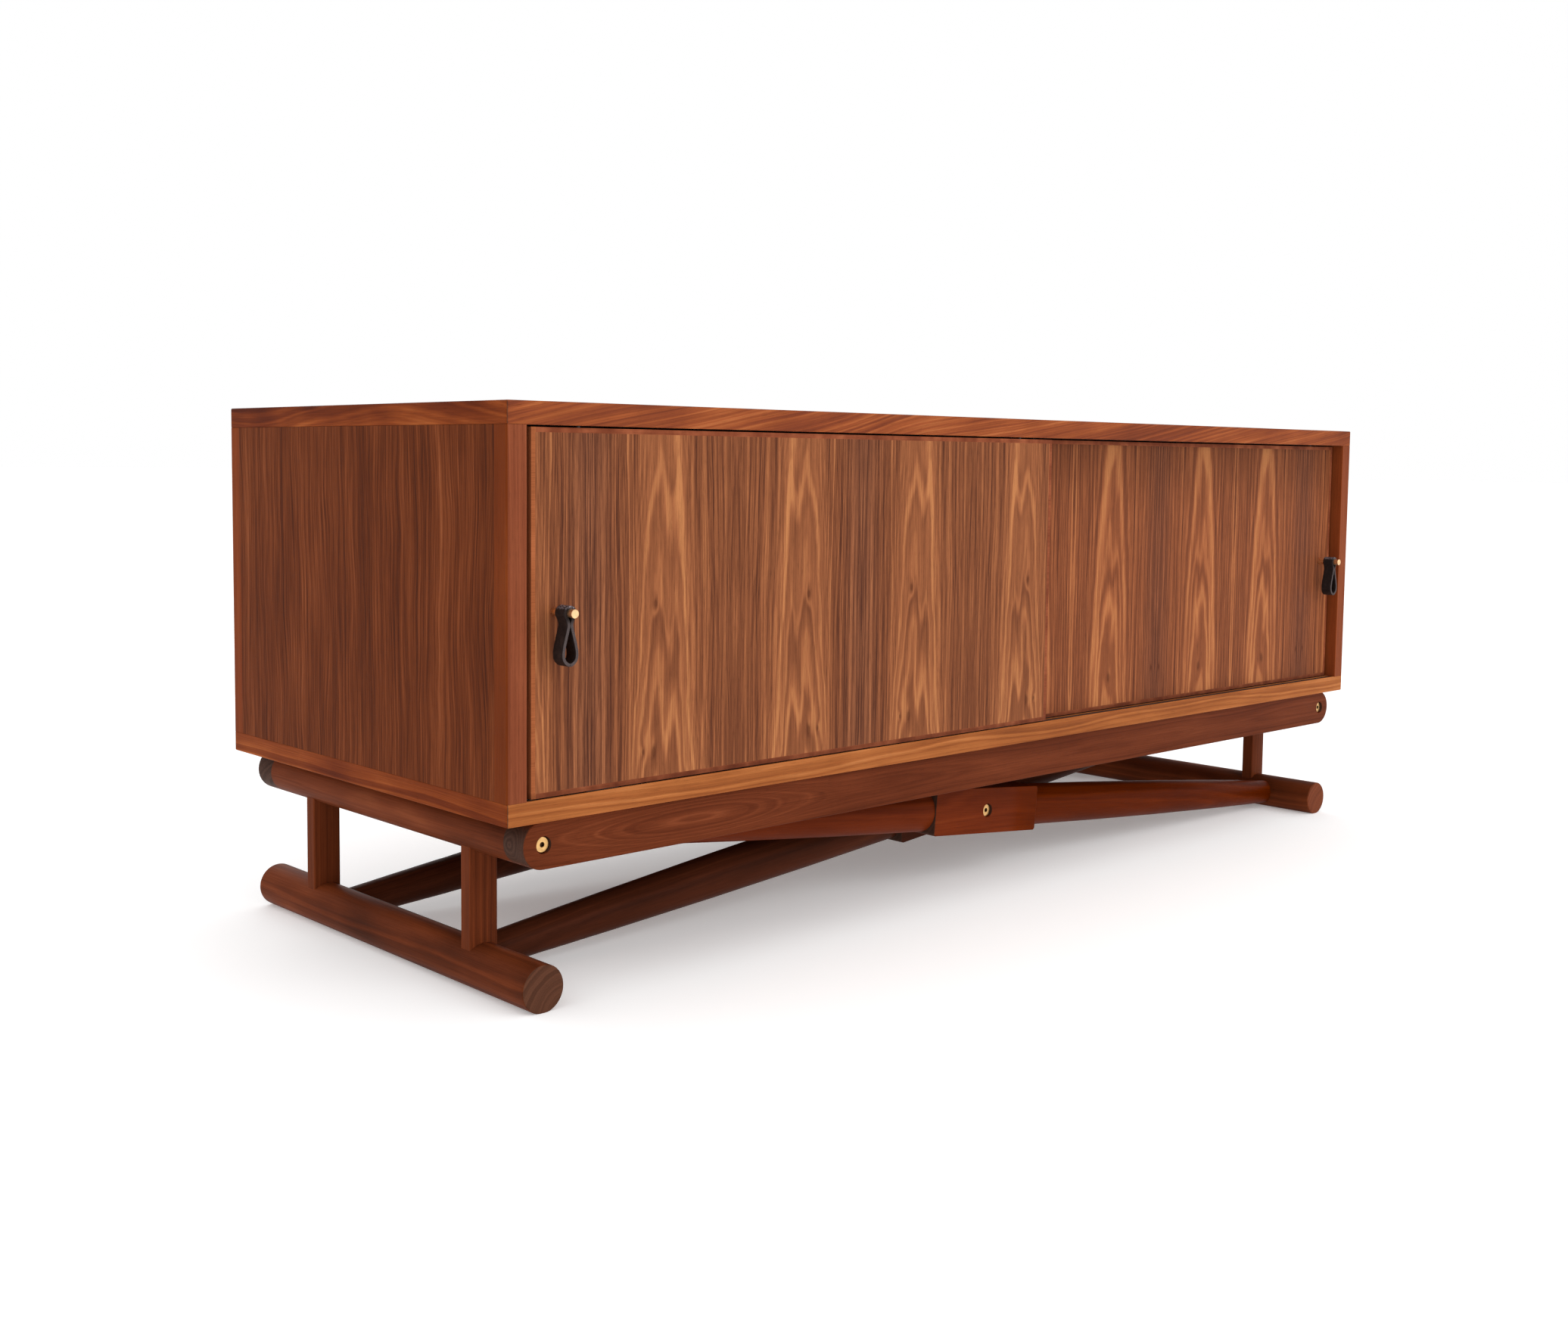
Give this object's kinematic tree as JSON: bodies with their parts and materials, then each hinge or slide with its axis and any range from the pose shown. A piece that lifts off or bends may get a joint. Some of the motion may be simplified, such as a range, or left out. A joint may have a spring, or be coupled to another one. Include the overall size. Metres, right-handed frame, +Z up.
{
  "type": "media cabinet",
  "caption": "Low walnut media cabinet with two bypass sliding doors, leather loop pulls on brass posts, and a base of round rails, half-round beams and tapered crossed braces.",
  "frame": {"origin": "on the floor under the middle of the whole cabinet, pulls included", "axes": "+Z up, +X along the cabinet to the viewer's right when facing the doors, and the doors face -Y"},
  "size_m": [1.6, 0.612, 0.607],
  "materials": {
    "case_veneer": "oiled walnut veneer, straight grain, satin",
    "door_veneer": "oiled walnut veneer, cathedral grain in repeated leaves, satin",
    "solid_edge": "oiled solid walnut, satin",
    "base_walnut": "oiled solid walnut, satin",
    "brass": "turned and lightly polished",
    "leather": "black bridle leather with burnished edges",
    "nylon": "moulded nylon, dark brown",
    "track_plastic": "extruded, dark brown",
    "steel": "zinc plated"
  },
  "bodies": {
    "cabinet": {"back_panel": "case_veneer", "beam_bolts": "brass", "bottom_end_lippings": "solid_edge", "bottom_front_lipping": "solid_edge", "bottom_panel": "case_veneer", "bottom_rear_lipping": "solid_edge", "bottom_tracks": "track_plastic", "brace_bolts": "brass", "case_screws": "steel", "centre_divider": "case_veneer", "front_beam": "base_walnut", "front_inner_brace": "base_walnut", "front_outer_brace": "base_walnut", "left_foot_rail": "base_walnut", "left_front_post": "base_walnut", "left_rear_post": "base_walnut", "left_shelf": "case_veneer", "left_side_front_lipping": "solid_edge", "left_side_panel": "case_veneer", "left_side_rear_lipping": "solid_edge", "left_upper_rail": "base_walnut", "rear_beam": "base_walnut", "rear_inner_brace": "base_walnut", "rear_outer_brace": "base_walnut", "right_foot_rail": "base_walnut", "right_front_post": "base_walnut", "right_rear_post": "base_walnut", "right_shelf": "case_veneer", "right_side_front_lipping": "solid_edge", "right_side_panel": "case_veneer", "right_side_rear_lipping": "solid_edge", "right_upper_rail": "base_walnut", "shelf_pins": "steel", "threaded_inserts": "brass", "top_end_lippings": "solid_edge", "top_front_lipping": "solid_edge", "top_panel": "case_veneer", "top_rear_lipping": "solid_edge", "top_tracks": "track_plastic"},
    "left_door": {"left_door_glides": "nylon", "left_door_left_guide_spring": "steel", "left_door_lippings": "solid_edge", "left_door_panel": "door_veneer", "left_door_right_guide_spring": "steel", "left_pull_post": "brass", "left_pull_screw": "steel"},
    "right_door": {"right_door_glides": "nylon", "right_door_left_guide_spring": "steel", "right_door_lippings": "solid_edge", "right_door_panel": "door_veneer", "right_door_right_guide_spring": "steel", "right_pull_post": "brass", "right_pull_screw": "steel"},
    "left_pull": {"left_pull_loop": "leather"},
    "right_pull": {"right_pull_loop": "leather"},
    "left_door_left_guide_pin": {"left_door_left_guide_pin": "nylon"},
    "left_door_right_guide_pin": {"left_door_right_guide_pin": "nylon"},
    "right_door_left_guide_pin": {"right_door_left_guide_pin": "nylon"},
    "right_door_right_guide_pin": {"right_door_right_guide_pin": "nylon"}
  },
  "joints": [
    {"name": "left_door_slide", "type": "slide", "parent": "cabinet", "child": "left_door", "axis": [1, 0, 0], "range_m": [0, 0.675]},
    {"name": "right_door_slide", "type": "slide", "parent": "cabinet", "child": "right_door", "axis": [1, 0, 0], "range_m": [-0.675, 0]},
    {"name": "left_pull_swing", "type": "hinge", "parent": "left_door", "child": "left_pull", "pos_m": [-0.743, -0.2878, 0.4025], "axis": [0, -1, 0], "range_deg": [-75, 75]},
    {"name": "right_pull_swing", "type": "hinge", "parent": "right_door", "child": "right_pull", "pos_m": [0.743, -0.2748, 0.4025], "axis": [0, -1, 0], "range_deg": [-20, 25]},
    {"name": "left_door_left_guide_retract", "type": "slide", "parent": "left_door", "child": "left_door_left_guide_pin", "axis": [0, 0, -1], "range_m": [0, 0.012], "stiffness_N_per_m": 150, "springref_m": -0.01, "deforming": ["left_door_left_guide_spring"]},
    {"name": "left_door_right_guide_retract", "type": "slide", "parent": "left_door", "child": "left_door_right_guide_pin", "axis": [0, 0, -1], "range_m": [0, 0.012], "stiffness_N_per_m": 150, "springref_m": -0.01, "deforming": ["left_door_right_guide_spring"]},
    {"name": "right_door_left_guide_retract", "type": "slide", "parent": "right_door", "child": "right_door_left_guide_pin", "axis": [0, 0, -1], "range_m": [0, 0.012], "stiffness_N_per_m": 150, "springref_m": -0.01, "deforming": ["right_door_left_guide_spring"]},
    {"name": "right_door_right_guide_retract", "type": "slide", "parent": "right_door", "child": "right_door_right_guide_pin", "axis": [0, 0, -1], "range_m": [0, 0.012], "stiffness_N_per_m": 150, "springref_m": -0.01, "deforming": ["right_door_right_guide_spring"]}
  ]
}
